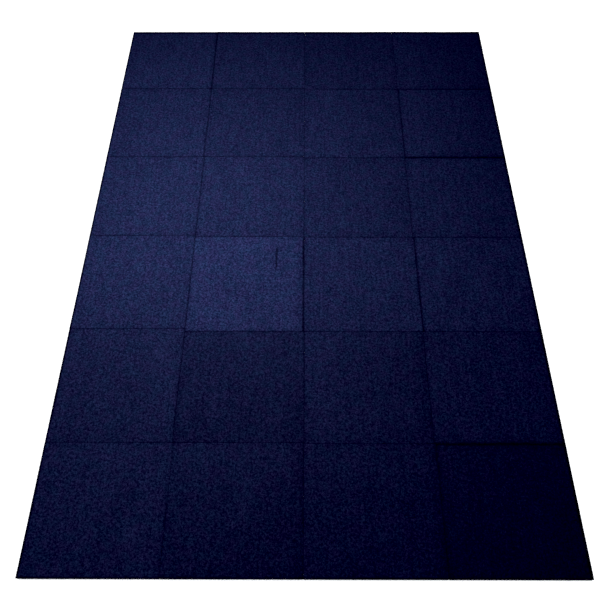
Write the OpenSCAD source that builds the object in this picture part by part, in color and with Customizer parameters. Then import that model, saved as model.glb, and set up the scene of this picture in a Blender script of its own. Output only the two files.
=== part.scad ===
// Blocking mats: a field of loose mats laid edge to edge, each one a foam core with a
// textile facing bonded on top. All sizes are in millimetres.
// The field lies on Z = 0 with its middle at X = Y = 0, and its rows run along +Y.
// Columns are lettered from -X (a, b, c, d), and rows are numbered from -Y (1, 2, 3 ...).

/* [Field] */
// Number of mats across the field
columns = 4; // [1:1:4]
// Number of rows of mats along the field
rows = 6; // [1:1:6]
// Gap that loose laying leaves between neighbouring mats
lay_gap = 0.8; // [0.4:0.1:8]
// How far the seams wander from an even grid: at 0 every mat is the same square
wander = 1; // [0:0.1:1]

/* [Mat] */
// Side of a mat where the grid is even
mat_side = 304; // [200:1:400]
// Radius of a mat's four corners
corner_r = 1; // [0.5:0.5:20]

/* [Layers] */
// Thickness of the textile facing
facing_t = 3; // [1:0.5:6]
// Thickness of the foam core under it
core_t = 9; // [5:0.5:20]
// How far the foam's edge stands back from the facing's edge
core_inset = 0.5; // [0:0.1:2]

/* [Colours] */
// Colour of the textile facing
facing_colour = "#1d2556"; // [#1d2556:Navy, #2b2d33:Charcoal, #5a1f2a:Wine]
// Colour of the foam core
core_colour = "#1c1e27"; // [#1c1e27:Black foam, #3d4048:Grey foam]

/* [Hidden] */
$fn = 48;
COLUMN_LETTERS = "abcd";
// Distance from the middle of one mat to the middle of the next
pitch = mat_side + lay_gap;

// The mats are cut by hand, up to 2 or 3 per cent large or small, so their seams wander.
// Where four mats meet, the two seams that run one of the two ways always line up.
// How far the seams a/b, b/c and c/d lie from the even grid, towards +X, in each row
SEAMS_ALONG_Y = [
    [-2, -2, 1],
    [-5, -2, -1],
    [-5, -4, -1],
    [-5, -4, -2],
    [-7, -4, -2],
    [-7, -4, -3],
];
// How far the seams 1/2, 2/3, 3/4, 4/5 and 5/6 lie from it, towards +Y, in columns a to d
SEAMS_ALONG_X = [
    [-3, -3, -5, -5],
    [2, -6, -6, -6],
    [2, -2, -4, -4],
    [3, 3, -1, -1],
    [7, 7, 3, 3],
];

// Name of one layer of one mat, such as "mat_a1_facing"
function layer_name(column, row, layer) = str("mat_", COLUMN_LETTERS[column], row + 1, "_", layer);

// X of the line on the -X side of a mat, and Y of the line on its -Y side: the field's own
// outer lines are straight
function line_x(column, row) =
    (column - columns / 2) * pitch
    + (column == 0 || column == columns ? 0 : wander * SEAMS_ALONG_Y[row][column - 1]);
function line_y(column, row) =
    (row - rows / 2) * pitch
    + (row == 0 || row == rows ? 0 : wander * SEAMS_ALONG_X[row - 1][column]);

// The outline of a mat in its place in the field, drawn in by inset on all sides
module mat_outline(column, row, inset) {
    edge = lay_gap / 2 + inset;
    low = [line_x(column, row), line_y(column, row)] + [edge, edge];
    high = [line_x(column + 1, row), line_y(column, row + 1)] - [edge, edge];
    translate(low)
        rounded_rectangle(high - low, corner_r);
}

// A rectangle with round corners, with one corner of its bounds at the origin
module rounded_rectangle(size, radius) {
    translate([radius, 0])
        square([size.x - 2 * radius, size.y]);
    translate([0, radius])
        square([size.x, size.y - 2 * radius]);
    for (x = [radius, size.x - radius], y = [radius, size.y - radius])
        translate([x, y])
            circle(radius);
}

// The textile facing, on top of the foam
module facing(column, row) {
    color(facing_colour)
        translate([0, 0, core_t])
            linear_extrude(facing_t)
                mat_outline(column, row, 0);
}

// The closed-cell foam core, which lies on the floor
module core(column, row) {
    color(core_colour)
        linear_extrude(core_t)
            mat_outline(column, row, core_inset);
}

for (row = [0 : rows - 1], column = [0 : columns - 1]) {
    facing(column, row);
    core(column, row);
}
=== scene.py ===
"""Looks for a field of 24 loose blocking mats: navy needle felt on foam, laid edge to edge."""

import math

import bpy
import numpy as np
from mathutils import Matrix, Vector
from mathutils.geometry import delaunay_2d_cdt


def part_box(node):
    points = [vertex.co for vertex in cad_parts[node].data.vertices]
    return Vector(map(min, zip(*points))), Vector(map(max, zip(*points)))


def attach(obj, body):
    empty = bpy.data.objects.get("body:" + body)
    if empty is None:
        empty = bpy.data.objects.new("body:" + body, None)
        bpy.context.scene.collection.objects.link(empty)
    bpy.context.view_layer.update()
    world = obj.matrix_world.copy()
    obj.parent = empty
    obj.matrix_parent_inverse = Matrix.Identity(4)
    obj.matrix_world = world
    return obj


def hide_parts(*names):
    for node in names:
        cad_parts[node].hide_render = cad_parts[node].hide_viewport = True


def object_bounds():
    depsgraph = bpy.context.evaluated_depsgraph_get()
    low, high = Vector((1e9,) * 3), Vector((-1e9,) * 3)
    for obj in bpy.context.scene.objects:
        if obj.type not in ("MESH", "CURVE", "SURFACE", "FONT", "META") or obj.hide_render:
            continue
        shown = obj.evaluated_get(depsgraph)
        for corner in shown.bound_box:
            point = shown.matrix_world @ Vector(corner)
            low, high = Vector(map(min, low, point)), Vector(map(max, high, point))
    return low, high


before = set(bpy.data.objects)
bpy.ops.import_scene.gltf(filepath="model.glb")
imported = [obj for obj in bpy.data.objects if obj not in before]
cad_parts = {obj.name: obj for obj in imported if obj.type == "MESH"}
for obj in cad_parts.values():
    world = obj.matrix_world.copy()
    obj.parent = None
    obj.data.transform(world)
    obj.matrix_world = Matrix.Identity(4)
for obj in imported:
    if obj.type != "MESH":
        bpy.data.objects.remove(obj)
cad_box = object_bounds()
MM = 0.001

# ---------------------------------------------------------------- where the mats lie

COLUMNS = "abcd"
ROWS = range(1, 7)
MATS = [f"{column}{row}" for row in ROWS for column in COLUMNS]


def laid(node):
    """The middle of a node's box at rest, and half its size each way."""
    low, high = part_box(node)
    return (low + high) / 2, (high - low) / 2


# ---------------------------------------------------------------- camera

PITCH_DOWN = math.radians(57.48)
ROLL, YAW = math.radians(0.147), math.radians(0.172)
LENS = 40.62
SENSOR = 36.0
MAT_PITCH = 12 * 25.4 * MM
# Where the camera stands, in mat pitches: right of the middle, before the near edge, above the tops.
RIGHT_OF_MIDDLE, BEFORE_EDGE, ABOVE_TOPS = 0.0208, 0.959, 5.022
near_edge = cad_box[0].y
top_z = cad_box[1].z

camera_data = bpy.data.cameras.new("camera")
camera_data.lens = LENS
camera_data.sensor_width = SENSOR
camera = bpy.data.objects.new("camera", camera_data)
camera.location = (
    RIGHT_OF_MIDDLE * MAT_PITCH,
    near_edge - BEFORE_EDGE * MAT_PITCH,
    top_z + ABOVE_TOPS * MAT_PITCH,
)
camera.rotation_euler = (math.pi / 2 - PITCH_DOWN, ROLL, YAW)
bpy.context.scene.collection.objects.link(camera)
bpy.context.scene.camera = camera

# ---------------------------------------------------------------- light and floor


def square_lamp(name, place, size, power):
    """A soft square lamp that shines straight down and can't be seen itself."""
    data = bpy.data.lights.new(name, "AREA")
    data.size = size
    data.energy = power
    lamp = bpy.data.objects.new(name, data)
    lamp.location = place
    lamp.visible_camera = False
    bpy.context.scene.collection.objects.link(lamp)
    return lamp


# A lamp hangs low over the left of the field, so that the mats darken away from it.
pool = square_lamp("pool", place=(-0.37, 0.13, 0.88), size=0.3, power=15.3)

# The room's light is dim on the mats, and the camera sees it as a white backdrop.
world = bpy.data.worlds.new("studio")
world.use_nodes = True
tree = world.node_tree
backdrop = tree.nodes["Background"]
backdrop.inputs["Color"].default_value = (1, 1, 1, 1)
room = tree.nodes.new("ShaderNodeBackground")
room.inputs["Color"].default_value = (0.222, 0.25, 0.3, 1)
seen = tree.nodes.new("ShaderNodeLightPath")
either = tree.nodes.new("ShaderNodeMixShader")
tree.links.new(seen.outputs["Is Camera Ray"], either.inputs[0])
tree.links.new(room.outputs[0], either.inputs[1])
tree.links.new(backdrop.outputs[0], either.inputs[2])
tree.links.new(either.outputs[0], tree.nodes["World Output"].inputs["Surface"])
bpy.context.scene.world = world

# The picture is graded as a catalogue photograph is, with its deepest shades taken down to black.
grade = bpy.context.scene.view_settings
grade.view_transform = "Standard"
grade.use_curve_mapping = True
grade.curve_mapping.black_level = (0.0037, 0.0053, 0.0023)
grade.curve_mapping.update()

FLOOR = 60.0
floor_data = bpy.data.meshes.new("floor")
floor_data.from_pydata(
    [(-FLOOR, -FLOOR, 0), (FLOOR, -FLOOR, 0), (FLOOR, FLOOR, 0), (-FLOOR, FLOOR, 0)],
    [],
    [(0, 1, 2, 3)],
)
floor = bpy.data.objects.new("floor", floor_data)
bpy.context.scene.collection.objects.link(floor)

# A broad overhead light falls only on the floor, and the low lamp only on the mats, so the floor
# stays plain white while the mats stay dark.
floor_only = bpy.data.collections.new("floor_only")
floor_only.objects.link(floor)
wash_data = bpy.data.lights.new("floor_wash", "SUN")
wash_data.energy = 1.7 * math.pi  # a pure white floor would look 1.7 times as bright as white
wash_data.angle = math.radians(140)
wash = bpy.data.objects.new("floor_wash", wash_data)
wash.light_linking.receiver_collection = floor_only
bpy.context.scene.collection.objects.link(wash)
all_but_floor = bpy.data.collections.new("all_but_floor")
all_but_floor.objects.link(floor)
all_but_floor.collection_objects[0].light_linking.link_state = "EXCLUDE"
pool.light_linking.receiver_collection = all_but_floor

# ---------------------------------------------------------------- materials

# How far the patterns are turned, so that none of them follows the mats' sides.
ASKEW = (0.6, 0.5, 0.3)


class Nodes:
    """Builds one material's node tree."""

    def __init__(self, name):
        self.material = bpy.data.materials.new(name)
        self.material.use_nodes = True
        self.tree = self.material.node_tree
        self.shader = self.tree.nodes["Principled BSDF"]

    def add(self, kind, settings=None, **inputs):
        """A node with its settings and inputs: numbers, colours or other nodes' outputs."""
        made = self.tree.nodes.new(kind)
        for key, value in (settings or {}).items():
            setattr(made, key, value)
        for key, value in inputs.items():
            self.put(made.inputs[key.replace("_", " ")], value)
        return made

    def put(self, socket, value):
        """Sets a socket to a number or colour, or links another node's output to it."""
        if isinstance(value, bpy.types.NodeSocket):
            self.tree.links.new(value, socket)
        else:
            socket.default_value = value

    def maths(self, operation, a, b):
        """The result of a Math node."""
        made = self.tree.nodes.new("ShaderNodeMath")
        made.operation = operation
        self.put(made.inputs[0], a)
        self.put(made.inputs[1], b)
        return made.outputs[0]

    def ramp(self, value, low, high, start, end):
        """value taken from the range low..high to start..end, and held at its ends."""
        made = self.add(
            "ShaderNodeMapRange",
            Value=value, From_Min=low, From_Max=high, To_Min=start, To_Max=end,
        )
        return made.outputs[0]

    def mix(self, share, a, b, blend="MIX"):
        """Colour a with this share of colour b."""
        made = self.tree.nodes.new("ShaderNodeMix")
        made.data_type = "RGBA"
        made.blend_type = blend
        self.put(made.inputs["Factor"], share)
        self.put(made.inputs["A"], a)
        self.put(made.inputs["B"], b)
        return next(socket for socket in made.outputs if socket.type == "RGBA")

    def scaled(self, colour, amount):
        """A colour times an amount."""
        made = self.add("ShaderNodeVectorMath", {"operation": "SCALE"})
        self.put(made.inputs[0], colour)
        self.put(made.inputs["Scale"], amount)
        return made.outputs[0]

    def attribute(self, name):
        """A number that the mesh keeps at each of its points."""
        return self.add("ShaderNodeAttribute", {"attribute_name": name}).outputs["Fac"]

    def stretched(self, where, sizes):
        """Places for patterns of these sizes, turned askew so that no pattern follows the axes."""
        scale = [1 / size for size in sizes]
        return self.add("ShaderNodeMapping", Vector=where, Scale=scale, Rotation=ASKEW).outputs[0]

    def noise(self, where, size, detail, distortion=0.0):
        """Noise from 0 to 1 whose bumps are about this size wide."""
        made = self.add(
            "ShaderNodeTexNoise",
            Vector=where, Scale=1 / size, Detail=detail, Roughness=0.6, Distortion=distortion,
        )
        return made.outputs[0]


def white_floor():
    n = Nodes("white_floor")
    n.shader.inputs["Base Color"].default_value = (0.93, 0.93, 0.93, 1)
    n.shader.inputs["Roughness"].default_value = 0.9
    n.shader.inputs["Specular IOR Level"].default_value = 0.1
    return n.material


floor_data.materials.append(white_floor())


# The felt's loose fibres: which ways they lie, and how long and how wide one looks.
FIBRE_TURNS = (math.radians(15), math.radians(75), math.radians(135))
FIBRE_LENGTH, FIBRE_WIDTH = 7 * MM, 0.9 * MM
# Sizes of its other patterns: single flecks, matted clumps, patches of tint, uneven dye and combed streaks.
FLECK, CLUMP, TINT, MOTTLE = 2.4 * MM, 5.2 * MM, 24 * MM, 70 * MM
STREAK = (6 * MM, 120 * MM, 30 * MM)
# How far flecks, clumps and streaks lighten or darken it, on a scale on which 1.1 is all pale or all dark.
BY_FLECK, BY_CLUMP, BY_STREAK = 0.45, 0.46, 0.11
BETWEEN_FIBRES, ON_FIBRE = -0.12, 0.25
ALL_PALE = 1.1
PALE_IS_RARE = 1.7  # above 1, dark fibre outweighs pale fibre
MOTTLED = 0.07
DARK_FIBRE = (0.0022, 0.0034, 0.0140, 1)
PALE_FIBRE = (0.0210, 0.0262, 0.0785, 1)
VIOLET_CAST = (1.05, 0.95, 1.02, 1)
TEAL_CAST = (0.78, 1.07, 1.0, 1)


def fibres(n, where):
    """1 along loose fibres that lie three ways over each other, and 0 between them."""
    top = 0.0
    for turn in FIBRE_TURNS:
        turned = n.add("ShaderNodeMapping", Vector=where, Rotation=(0, 0, turn)).outputs[0]
        drawn = n.stretched(turned, (FIBRE_LENGTH, FIBRE_WIDTH, FIBRE_WIDTH))
        strand = n.ramp(n.noise(drawn, 1.0, 1.0, 0.4), 0.5, 0.72, 0.0, 1.0)
        top = n.maths("MAXIMUM", strand, top)
    return top


def felt():
    """Navy needle felt: dark fibre with paler flecks, darkened by the tone and painted shade that each mesh
    keeps in an attribute, with its pattern set apart by another.
    """
    n = Nodes("navy_felt")
    place = n.add("ShaderNodeTexCoord").outputs["Object"]
    apart = n.add("ShaderNodeCombineXYZ", Z=n.attribute("batch")).outputs[0]
    moved = n.add("ShaderNodeVectorMath", {"operation": "ADD"})
    n.put(moved.inputs[0], place)
    n.put(moved.inputs[1], apart)
    where = n.add("ShaderNodeMapping", Vector=moved.outputs[0], Rotation=ASKEW).outputs[0]
    fleck = n.noise(where, FLECK, 0.0, 0.3)
    clump = n.noise(where, CLUMP, 1.0)
    mottle = n.noise(where, MOTTLE, 3.0)
    tint = n.noise(where, TINT, 2.0)
    nap = n.noise(n.stretched(moved.outputs[0], STREAK), 1.0, 1.0)
    fibre = fibres(n, moved.outputs[0])

    fine = n.ramp(fleck, 0.35, 0.65, -BY_FLECK, BY_FLECK)
    coarse = n.ramp(clump, 0.35, 0.65, -BY_CLUMP, BY_CLUMP)
    thread = n.ramp(fibre, 0.0, 1.0, BETWEEN_FIBRES, ON_FIBRE)
    streak = n.ramp(nap, 0.35, 0.65, -BY_STREAK, BY_STREAK)
    speckle = n.maths("ADD", n.maths("ADD", fine, coarse), n.maths("ADD", thread, streak))
    pale_share = n.maths("POWER", n.ramp(speckle, -ALL_PALE, ALL_PALE, 0.0, 1.0), PALE_IS_RARE)
    colour = n.mix(pale_share, DARK_FIBRE, PALE_FIBRE)
    cast = n.mix(n.ramp(tint, 0.38, 0.62, 0.0, 1.0), VIOLET_CAST, TEAL_CAST)
    colour = n.mix(1.0, colour, cast, "MULTIPLY")
    uneven = n.ramp(mottle, 0.3, 0.7, 1 - MOTTLED, 1 + MOTTLED)
    # The felt's colour is scaled by the mesh's tone and painted shade.
    amount = n.maths("MULTIPLY", n.attribute("shade"), uneven)
    n.put(n.shader.inputs["Base Color"], n.scaled(colour, amount))

    n.shader.inputs["Roughness"].default_value = 0.85
    n.shader.inputs["Specular IOR Level"].default_value = 0.03
    n.shader.inputs["Sheen Weight"].default_value = 0.02
    n.shader.inputs["Sheen Roughness"].default_value = 0.5
    n.shader.inputs["Sheen Tint"].default_value = (0.15, 0.4, 1.0, 1)

    bump = n.add("ShaderNodeBump", Height=clump, Strength=0.5, Distance=0.5 * MM).outputs[0]
    fuzz = n.add("ShaderNodeBump", Height=fibre, Strength=0.5, Distance=0.25 * MM, Normal=bump)
    n.put(n.shader.inputs["Normal"], fuzz.outputs[0])
    return n.material


FOAM_COLOUR = (0.010, 0.011, 0.018)
CELL, FOAM_PATCH = 0.8 * MM, 12 * MM


def foam():
    """Near-black closed-cell foam, with fine paler cells on its cut faces."""
    n = Nodes("black_foam")
    place = n.add("ShaderNodeTexCoord").outputs["Object"]
    cells = n.add("ShaderNodeTexVoronoi", Vector=place, Scale=1 / CELL).outputs["Distance"]
    broad = n.noise(place, FOAM_PATCH, 3.0)
    by_cell = n.ramp(cells, 0.1, 0.7, 0.6, 1.5)
    by_patch = n.ramp(broad, 0.3, 0.7, 0.85, 1.15)
    amount = n.maths("MULTIPLY", by_cell, by_patch)
    n.put(n.shader.inputs["Base Color"], n.scaled(FOAM_COLOUR, amount))
    n.shader.inputs["Roughness"].default_value = 0.8
    n.shader.inputs["Specular IOR Level"].default_value = 0.15
    return n.material


# ---------------------------------------------------------------- each mat's tone, painted shade and bend

# How pale each mat's felt is painted, by row and from a to d: partly the mats' own differing dye, partly
# painted light and shade for how each mat's fibre lies to the light.
BRIGHT, PALE, PLAIN, DIM, DARK, DARKEST = 1.34, 1.1, 1.0, 0.93, 0.86, 0.66
SHADES = {
    6: (PALE, PLAIN, DIM, DIM),
    5: (PLAIN, DIM, PLAIN, PLAIN),
    4: (PLAIN, PLAIN, DIM, PLAIN),
    3: (PALE, BRIGHT, PALE, PALE),
    2: (PLAIN, DARK, DIM, DIM),
    1: (PALE, DIM, DARK, DARKEST),
}
# Mats painted with shade that darkens them towards one side: the share lost there, towards +X and towards
# -Y.
PAINTED_FADES = {
    "b1": (0.08, 0.08),
    "c1": (0.06, 0.05),
    "d1": (0.08, 0.1),
    "c2": (0.08, 0),
    "d5": (0.1, 0),
    "d6": (0.12, 0),
}
# How dark the painted shade line at a mat's rim is, for the shadow in the seams and at the field's outer
# edge: at the field's outer sides, and per row from the nearest.
OUTER_RIM, USUAL_RIM = 0.97, 0.08
# Rims whose painted shade line is darker or lighter than that.
SEAM_LINE_SHADE = {
    "a1": {"right": 0.3},
    "a2": {"right": 0.45},
    "a3": {"right": 0.5, "near": 0.1},
    "a6": {"right": 0.55},
    "b1": {"right": 0.25},
    "b2": {"right": 0.2},
    "b3": {"right": 0.85},
    "b4": {"right": 0.2},
    "b5": {"right": 0.15},
    "b6": {"right": 0.2},
    "c1": {"left": 0.1, "right": 0.25},
    "c2": {"left": 0.4, "right": 0.2},
    "c3": {"left": 0.6, "right": 0.3},
    "c4": {"left": 0.2, "right": 0.3},
    "c5": {"left": 0.15, "right": 0.3, "far": 0.2},
    "c6": {"left": 0.2, "right": 0.15},
    "d1": {"left": 0.4, "far": 0.85},
    "d2": {"left": 0.15, "near": 0.7},
    "d3": {"left": 0.75},
    "d4": {"left": 0.3, "far": 0.75},
    "d5": {"left": 0.7, "near": 0.9, "far": 0.5},
    "d6": {"left": 0.15, "near": 0.6},
}
# How dark the broad soft shadow beside a rim's line is: usually, and at the sides where it is deeper.
USUAL_SHADOW = 0.08
SHADED = {
    "a6": {"right": 0.2},
    "b1": {"right": 0.35},
    "b3": {"right": 0.25},
    "c1": {"right": 0.35},
    "c2": {"right": 0.45},
    "d1": {"left": 0.2, "far": 0.3},
    "d2": {"near": 0.3},
    "d4": {"far": 0.2},
    "d5": {"near": 0.35},
    "d6": {"near": 0.25},
}
# How wide a faint inner painted shade line and the painted soft shadow are, and the painted shade lines at
# the field's outer sides.
RIM, SHADOW_WIDTH = 2.2 * MM, 34 * MM
OUTER_WIDTH = {"left": 6.5 * MM, "right": 8.5 * MM, "near": 4.5 * MM, "far": 14 * MM}
WIDER_WHEN_DARKER = 1.5
LINE_FALL = 2.5  # how sharply a line ends: the higher, the sharper
UNEVEN_LINE, UNEVEN_SHADOW = 0.16, 0.4
UNEVEN_STEP = 30 * MM

# One mat has a short crease that runs along Y, towards its right side, and its near side stands up.
# The crease's place and half sizes are shares of half a mat.
CREASED = "b3"
CREASE_X, CREASE_Y = 0.51, 0.52
CREASE_HALF_WIDTH, CREASE_HALF_LENGTH, CREASE_END = 0.026, 0.28, 0.1
CREASE_WAVE, CREASE_WAVES, CREASE_FALL = 0.006, 9, 1.4
# How much painted shade darkens the crease, and how deep its dent is.
CREASE_PAINTED_SHADE, CREASE_DEPTH = 0.75, 0.9 * MM
LIP_HEIGHT = 0.7 * MM

# How far a mat can bow up in its middle, and how far a corner can curl.
LEAST_BOW, MOST_BOW = 0.2 * MM, 1.4 * MM
MOST_CURL = 0.8 * MM
CURL_FROM = 1.1  # where a corner's curl starts, where 2 is the corner and 0 is the middle
LIP_FROM = 0.7  # where the near side starts to stand up, where 1 is the side and 0 is the middle

# Seeds that keep the random draws of one kind apart from those of another.
RELIEF_SEED, RIM_SHADE_SEED, BEND_SEED = 0, 500, 1000
BATCH_STEP = 0.37


def value_noise(x, y, cell, rng):
    """Smooth random heights from -1 to 1, with bumps about one cell wide."""
    u, v = (x - x.min()) / cell, (y - y.min()) / cell
    i, j = np.floor(u).astype(int), np.floor(v).astype(int)
    lattice = rng.uniform(-1, 1, (i.max() + 2, j.max() + 2))
    s, t = u - i, v - j
    s, t = s * s * (3 - 2 * s), t * t * (3 - 2 * t)
    low = lattice[i, j] * (1 - s) + lattice[i + 1, j] * s
    high = lattice[i, j + 1] * (1 - s) + lattice[i + 1, j + 1] * s
    return low * (1 - t) + high * t


def crease(u, v):
    """1 along the crease's middle and 0 off it: u and v run from -1 to 1 across the mat."""
    off = np.abs(u - CREASE_X - CREASE_WAVE * np.sin(CREASE_WAVES * v))
    across = np.clip(CREASE_FALL * (1 - off / CREASE_HALF_WIDTH), 0, 1)
    along = np.clip((CREASE_HALF_LENGTH - np.abs(v - CREASE_Y)) / CREASE_END, 0, 1)
    return across * along


def rims(mat):
    """For each side of a mat: how dark and how wide its rim's painted shade line is, and how dark its
    painted shadow is.
    """
    column, row = mat
    outer = {"left": column == "a", "right": column == "d", "near": row == "1", "far": row == "6"}
    line_shades, shaded = SEAM_LINE_SHADE.get(mat, {}), SHADED.get(mat, {})
    made = {}
    for side, is_outer in outer.items():
        strength = OUTER_RIM if is_outer else line_shades.get(side, USUAL_RIM * int(row))
        width = OUTER_WIDTH[side] if is_outer else RIM * (1 + WIDER_WHEN_DARKER * strength)
        made[side] = (strength, width, shaded.get(side, USUAL_SHADOW))
    return made


def shading(made, mat, half):
    """Keeps with the mesh how pale the felt is painted at each point, its tone with painted shade at its
    rims, sides and crease, and a number that sets its pattern apart.
    """
    place = np.array([vertex.co for vertex in made.data.vertices])
    x, y = place[:, 0], place[:, 1]
    u, v = x / half.x, y / half.y
    number = MATS.index(mat)
    # Each mat's tone, partly painted light and shade, with painted shade darkening it towards one side.
    shade_to_right, shade_to_near = PAINTED_FADES.get(mat, (0, 0))
    shade = SHADES[int(mat[1])][COLUMNS.index(mat[0])] * (1 - shade_to_right * u) * (1 + shade_to_near * v)
    inward = {"left": half.x + x, "right": half.x - x, "near": half.y + y, "far": half.y - y}
    wander = value_noise(x, y, UNEVEN_STEP, np.random.default_rng(RIM_SHADE_SEED + number))
    # Painted shade: a dark line along each rim for the shadow in the seams and at the field's outer edge,
    # and a broad painted shadow beside it, both uneven along the rim.
    for side, (strength, width, shadow) in rims(mat).items():
        line = np.clip(LINE_FALL * (1 - inward[side] / width), 0, 1)
        line = line * (1 - UNEVEN_LINE * (1 - wander))
        soft = np.clip(1 - inward[side] / SHADOW_WIDTH, 0, 1) ** 2
        soft = soft * (0.8 + UNEVEN_SHADOW * wander)
        shade = shade * (1 - strength * line) * (1 - shadow * soft)
    # A creased mat is also painted with shade along its crease.
    if mat == CREASED:
        shade = shade * (1 - CREASE_PAINTED_SHADE * crease(u, v))
    for name, value in (("shade", shade), ("batch", np.full(len(place), BATCH_STEP * number))):
        attribute = made.data.attributes.new(name, "FLOAT", "POINT")
        attribute.data.foreach_set("value", value.astype(np.float32))


def bend_of(mat, half):
    """A function that says how far a mat lifts off the floor at each point, as it bows and curls."""
    rng = np.random.default_rng(BEND_SEED + MATS.index(mat))
    bow = rng.uniform(LEAST_BOW, MOST_BOW)
    curls = {(sx, sy): rng.uniform(0, MOST_CURL) for sx in (-1, 1) for sy in (-1, 1)}
    lip = LIP_HEIGHT if mat == CREASED else 0.0

    def bend(x, y):
        u, v = x / half.x, y / half.y
        lift = bow * (1 - np.clip(u, -1, 1) ** 2) * (1 - np.clip(v, -1, 1) ** 2)
        for (sx, sy), height in curls.items():
            lift = lift + height * np.clip((sx * u + sy * v - CURL_FROM) / (2 - CURL_FROM), 0, None) ** 2
        return lift + lip * np.clip((-v - LIP_FROM) / (1 - LIP_FROM), 0, None) ** 2

    return bend


# ---------------------------------------------------------------- shapes

CORNER = 0.5 * MM
PLAIN_STEP = 24 * MM  # spacing of the triangles on a slab's plain face

SHOULDER = 1.1 * MM  # radius of the felt's upper edge
SPRING_OUT = 0.37 * MM  # how far the cut felt springs out past its nominal edge
PILE_STEP = 2.0 * MM
# Height of the felt's relief and size of its bumps, from fine to broad.
RELIEF = [(0.18 * MM, 3.4 * MM), (0.12 * MM, 6.5 * MM), (0.2 * MM, 45 * MM)]
TOP_BELOW = 0.35 * MM  # how far its mean top lies below the nominal top
FELT_WALL_STEP = 0.8 * MM

GRIP_STEP, GRIP_DEPTH = 4.0 * MM, 0.35 * MM
FOAM_EDGE = 0.4 * MM
FOAM_WAIST = 0.1 * MM  # how far the foam's cut sides are drawn in


def round_corners(x, y, half, radius):
    """Pulls the corners of a rectangular grid in to quarter circles."""
    u = np.clip(np.abs(x) - (half.x - radius), 0, None) / radius
    v = np.clip(np.abs(y) - (half.y - radius), 0, None) / radius
    both = (u > 0) & (v > 0)
    round_x = np.sign(x) * (half.x - radius + radius * u * np.sqrt(1 - v * v / 2))
    round_y = np.sign(y) * (half.y - radius + radius * v * np.sqrt(1 - u * u / 2))
    return np.where(both, round_x, x), np.where(both, round_y, y)


def edge_lines(half, step, shoulder):
    """Places of a grid's lines: close over the rounded edge, then even."""
    over_edge = [half - share * shoulder for share in (0, 0.2, 0.5, 1)]
    inner = half - 1.6 * shoulder
    count = round(MAT_PITCH / step)
    return np.array([-p for p in over_edge] + list(np.linspace(-inner, inner, count)) + over_edge[::-1])


def rounded_grid(half, step, shoulder):
    """A grid over a mat: x, y, how far in from the edge each point is, and the round edge's fall there."""
    lines_x, lines_y = edge_lines(half.x, step, shoulder), edge_lines(half.y, step, shoulder)
    flat_x, flat_y = np.meshgrid(lines_x, lines_y, indexing="ij")
    inward = np.minimum(half.x - np.abs(flat_x), half.y - np.abs(flat_y))
    over = np.clip(shoulder - inward, 0, None)
    fall = shoulder - np.sqrt(np.clip(shoulder**2 - over**2, 0, None))
    x, y = round_corners(flat_x, flat_y, half, CORNER)
    return x, y, inward, fall


def rim(n):
    """Indices of the outer points of an n by n grid, in turn around it."""
    near = [(i, 0) for i in range(n - 1)]
    right = [(n - 1, j) for j in range(n - 1)]
    far = [(i, n - 1) for i in range(n - 1, 0, -1)]
    left = [(0, j) for j in range(n - 1, 0, -1)]
    return [i * n + j for i, j in near + right + far + left]


def plain_face(outline):
    """Even triangles inside an outline, and the points that they need besides the outline's own."""
    lines = []
    for axis in (0, 1):
        reach = max(abs(p[axis]) for p in outline) - PLAIN_STEP / 2
        lines.append(np.linspace(-reach, reach, round(2 * reach / PLAIN_STEP) + 1))
    inner = [(x, y) for x in lines[0] for y in lines[1]]
    points = [Vector(p) for p in list(outline) + inner]
    loop = list(range(len(outline)))
    _, _, faces, origins, _, _ = delaunay_2d_cdt(points, [], [loop], 1, 1e-7)
    first = [origin[0] for origin in origins]
    return inner, [[first[k] for k in face] for face in faces]


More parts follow.
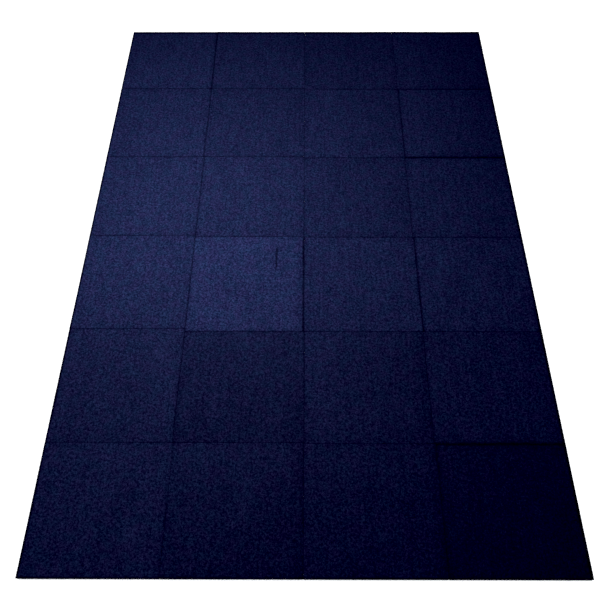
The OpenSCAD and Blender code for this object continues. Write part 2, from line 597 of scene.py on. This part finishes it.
def slab(name, x, y, z, wall, faces_up, bend):
    """A closed slab: a relief face of x, y, z grids, a wall of rings (inset, height) and a plain back."""
    n = len(x)
    grid = np.stack([x.ravel(), y.ravel(), z.ravel()], 1)
    index = np.arange(n * n).reshape(n, n)
    quads = np.stack([index[:-1, :-1], index[1:, :-1], index[1:, 1:], index[:-1, 1:]], -1)
    points, faces = [grid], [quads.reshape(-1, 4).tolist()]

    above = np.array(rim(n))
    outline = grid[above, :2]
    reach = np.abs(outline).max()
    count = len(grid)
    for inset, height in wall:
        ring = outline * (1 - inset / reach)
        points.append(np.column_stack([ring, np.full(len(ring), height)]))
        below = count + np.arange(len(ring))
        count += len(ring)
        faces.append(np.stack([above, below, np.roll(below, -1), np.roll(above, -1)], 1).tolist())
        above = below

    inner, back = plain_face([tuple(p) for p in ring])
    points.append(np.array([(a, b, height) for a, b in inner]))
    own = list(above) + list(count + np.arange(len(inner)))
    faces.append([[own[k] for k in reversed(face)] for face in back])

    points = np.concatenate(points)
    points[:, 2] += bend(points[:, 0], points[:, 1])
    polygons = [face if faces_up else face[::-1] for group in faces for face in group]
    mesh = bpy.data.meshes.new(name)
    mesh.from_pydata(points.tolist(), [], polygons)
    mesh.validate()
    mesh.shade_smooth()
    made = bpy.data.objects.new(name, mesh)
    bpy.context.scene.collection.objects.link(made)
    return made


def finish(made, mat, middle, material, layer):
    """Lays a finished mesh where its mat lies, in its material, in place of the mat's CAD layer."""
    made.data.transform(Matrix.Translation((middle.x, middle.y, 0)))
    made.data.materials.append(material)
    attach(made, f"mat_{mat}")
    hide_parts(f"mat_{mat}_{layer}")


def facing(mat):
    """The felt: a slab with a grainy, slightly swelling top and a rounded upper edge."""
    middle, half = laid(f"mat_{mat}_facing")
    rng = np.random.default_rng(RELIEF_SEED + MATS.index(mat))
    reach = half + Vector((SPRING_OUT, SPRING_OUT, 0))
    x, y, _, fall = rounded_grid(reach, PILE_STEP, SHOULDER)
    z = middle.z + half.z - TOP_BELOW - fall
    for height, cell in RELIEF:
        z = z + height * value_noise(x, y, cell, rng)
    if mat == CREASED:
        z = z - CREASE_DEPTH * crease(x / half.x, y / half.y)
    base = middle.z - half.z
    wall = [(SPRING_OUT / 2, base + FELT_WALL_STEP), (SPRING_OUT, base)]
    made = slab(f"felt_{mat}", x, y, z, wall, True, bend_of(mat, half))
    shading(made, mat, reach)
    finish(made, mat, middle, felt_material, "facing")
    return made, half


def core(mat):
    """The foam: a slab with a waffle under it for grip and a slight waist in its cut sides."""
    middle, half = laid(f"mat_{mat}_core")
    x, y, inward, rise = rounded_grid(half, GRIP_STEP, FOAM_EDGE)
    i, j = np.indices(x.shape)
    grip = np.where((i + j) % 2 == 0, 0.0, GRIP_DEPTH) * (inward > GRIP_STEP)
    base, depth = middle.z - half.z, 2 * half.z
    wall = [(FOAM_WAIST / 2, base + 0.35 * depth), (FOAM_WAIST, base + 0.7 * depth), (0.0, base + depth)]
    made = slab(f"foam_{mat}", x, y, base + rise + grip, wall, False, bend_of(mat, half))
    finish(made, mat, middle, foam_material, "core")
    return made


felt_material = felt()
foam_material = foam()
for mat in MATS:
    foam_piece = core(mat)
    felt_piece, half = facing(mat)
